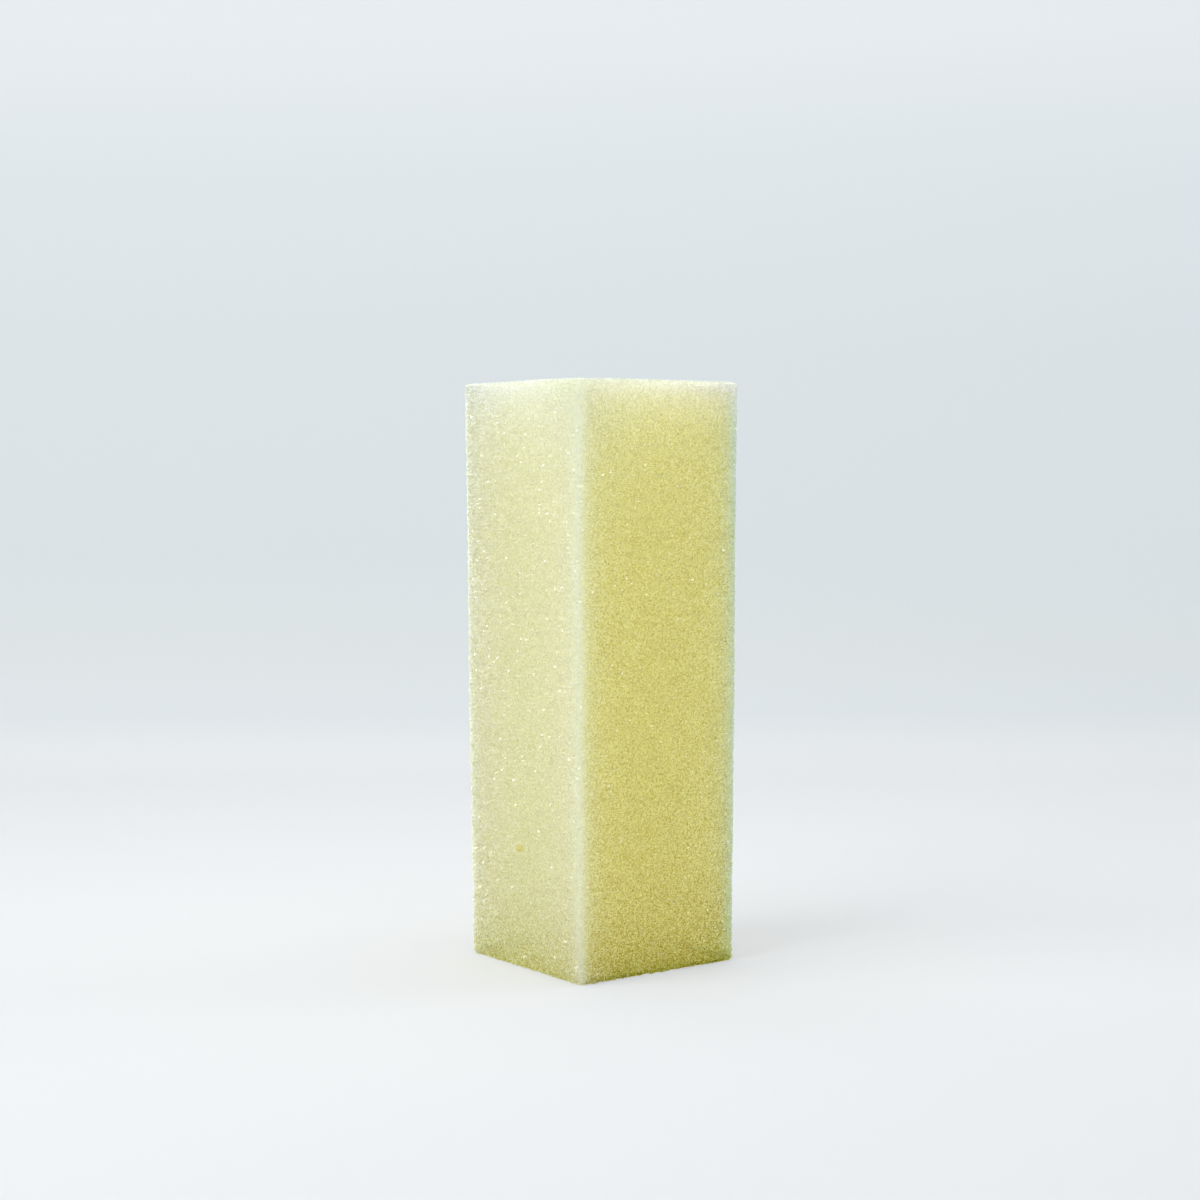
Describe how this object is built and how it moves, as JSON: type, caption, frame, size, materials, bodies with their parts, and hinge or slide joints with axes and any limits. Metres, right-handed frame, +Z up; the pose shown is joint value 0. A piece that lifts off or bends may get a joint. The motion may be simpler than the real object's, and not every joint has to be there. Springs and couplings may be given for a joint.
{
  "type": "cleaning sponge",
  "caption": "Tall square-section block of open-cell foam sponge, sawn on every side, standing on its end.",
  "frame": {"origin": "middle of the flat foot that the block stands on", "axes": "+Z up the block's length; the sawn long sides face -X, +X, -Y and +Y; the blow hole is in the -X side"},
  "size_m": [0.05, 0.05, 0.15],
  "materials": {
    "foam": "matte open-cell foam, pale greenish yellow"
  },
  "bodies": {
    "root": {"sponge": "foam"}
  },
  "joints": []
}
